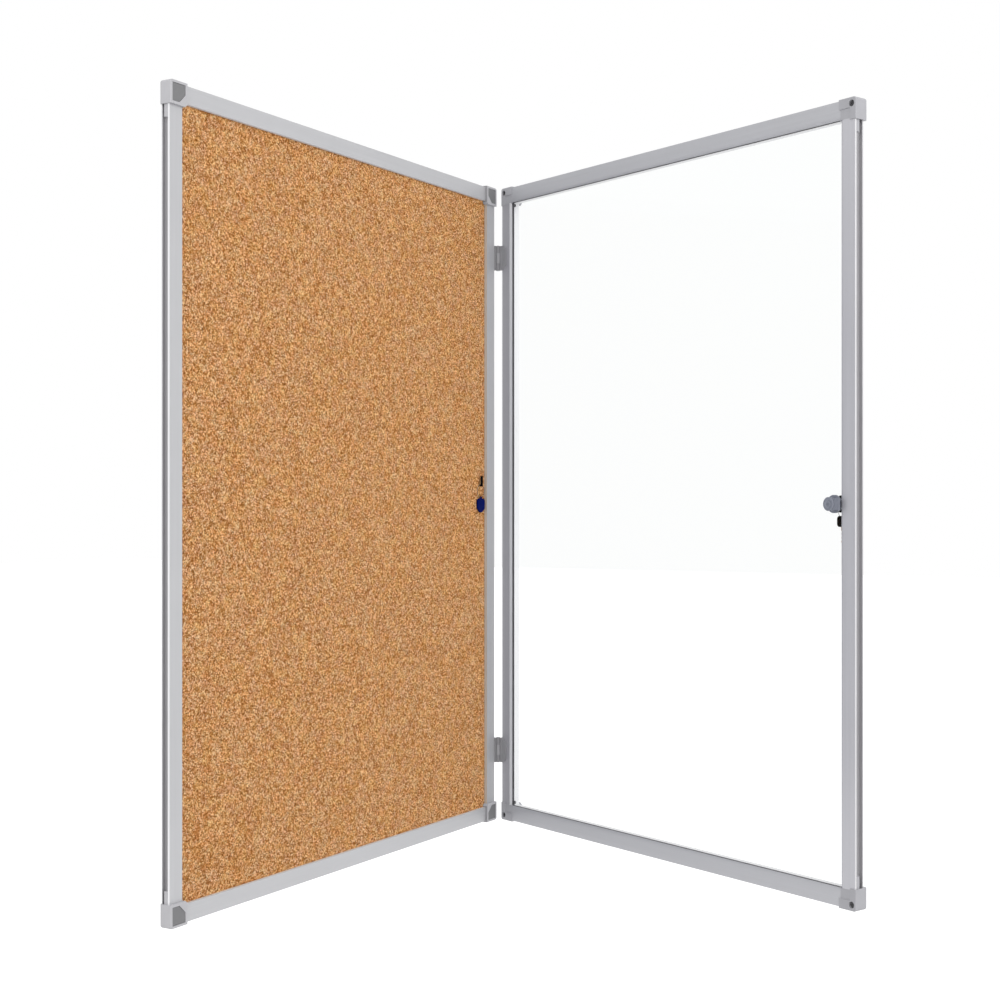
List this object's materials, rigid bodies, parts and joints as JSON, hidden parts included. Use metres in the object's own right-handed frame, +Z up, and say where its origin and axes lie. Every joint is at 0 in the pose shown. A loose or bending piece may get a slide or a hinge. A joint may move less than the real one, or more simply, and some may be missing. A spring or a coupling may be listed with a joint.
{
  "type": "lockable notice board",
  "caption": "Wall-hung cork notice board in an aluminium frame with a hinged clear door, shown open, with a cam lock, keys on a ring and plastic corner pieces",
  "frame": {"origin": "centre of the back frame on the wall plane, at the centre of the four wall screw holes", "axes": "X to the right across the board as seen from the front, +Y into the wall, +Z up"},
  "size_m": [0.7439, 0.6943, 0.9812],
  "materials": {
    "anodised_aluminium": "satin anodised, fine drawn lines along each bar",
    "corner_plastic": "moulded, fine grained",
    "cover_plastic": "moulded, matt",
    "cork": "pressed cork granules, sanded",
    "hardboard": "smooth hardboard",
    "clear_acrylic": "clear polished sheet",
    "black_rubber": "matt",
    "hinge_metal": "grey coated casting",
    "zinc_plated_steel": "bright zinc",
    "lock_nickel": "satin nickel",
    "key_steel": "stamped and nickel plated",
    "black_plastic": "moulded, smooth",
    "blue_plastic": "moulded, smooth"
  },
  "bodies": {
    "back_frame": {"back_bottom_rail": "anodised_aluminium", "back_corner_bottom_left": "corner_plastic", "back_corner_bottom_right": "corner_plastic", "back_corner_top_left": "corner_plastic", "back_corner_top_right": "corner_plastic", "back_left_stile": "anodised_aluminium", "back_right_stile": "anodised_aluminium", "back_top_rail": "anodised_aluminium", "backing_board": "hardboard", "cork_sheet": "cork", "hinge_frame_half_lower": "hinge_metal", "hinge_frame_half_upper": "hinge_metal", "hinge_frame_screws": "zinc_plated_steel", "hinge_pin_lower": "zinc_plated_steel", "hinge_pin_upper": "zinc_plated_steel", "key_hook": "black_plastic", "screw_cover_bottom_left": "cover_plastic", "screw_cover_bottom_right": "cover_plastic", "screw_cover_top_left": "cover_plastic", "screw_cover_top_right": "cover_plastic"},
    "door": {"door_bottom_rail": "anodised_aluminium", "door_corner_bottom_left": "corner_plastic", "door_corner_bottom_right": "corner_plastic", "door_corner_screws": "zinc_plated_steel", "door_corner_top_left": "corner_plastic", "door_corner_top_right": "corner_plastic", "door_free_stile": "anodised_aluminium", "door_hinge_stile": "anodised_aluminium", "door_top_rail": "anodised_aluminium", "hinge_door_half_lower": "hinge_metal", "hinge_door_half_upper": "hinge_metal", "hinge_door_screws": "zinc_plated_steel", "lock_barrel": "lock_nickel", "lock_nut": "lock_nickel", "pane": "clear_acrylic", "pane_buffers": "black_rubber", "pane_gasket": "black_rubber"},
    "lock_turning": {"lock_plug": "lock_nickel", "lock_cam": "zinc_plated_steel", "cam_cap": "lock_nickel"},
    "lock_key": {"lock_key_blade": "key_steel", "lock_key_bow": "black_plastic"},
    "hanging_keys": {"key_ring": "zinc_plated_steel", "hanging_key_blade": "key_steel", "hanging_key_bow": "black_plastic"},
    "spare_key": {"spare_key_ring": "zinc_plated_steel", "spare_key_tag": "blue_plastic"}
  },
  "joints": [
    {"name": "door_swing", "type": "hinge", "parent": "back_frame", "child": "door", "pos_m": [0.366, -0.016, 0], "axis": [0, 0, 1], "range_deg": [-67.4, 82.6]},
    {"name": "lock_turn", "type": "hinge", "parent": "door", "child": "lock_turning", "pos_m": [0.10334, -0.65351, 0], "axis": [0.9232, -0.3843, 0], "range_deg": [0, 90]},
    {"name": "key_pull", "type": "slide", "parent": "lock_turning", "child": "lock_key", "axis": [0.9232, -0.3843, 0], "range_m": [0, 0.018]},
    {"name": "keys_swing", "type": "hinge", "parent": "lock_key", "child": "hanging_keys", "pos_m": [0.12106, -0.66089, -0.0012], "axis": [0.9232, -0.3843, 0], "range_deg": [-11, 15]},
    {"name": "spare_swing", "type": "hinge", "parent": "back_frame", "child": "spare_key", "pos_m": [0.3237, -0.0105, 0.0286], "axis": [0, 1, 0], "range_deg": [-5, 25]}
  ]
}
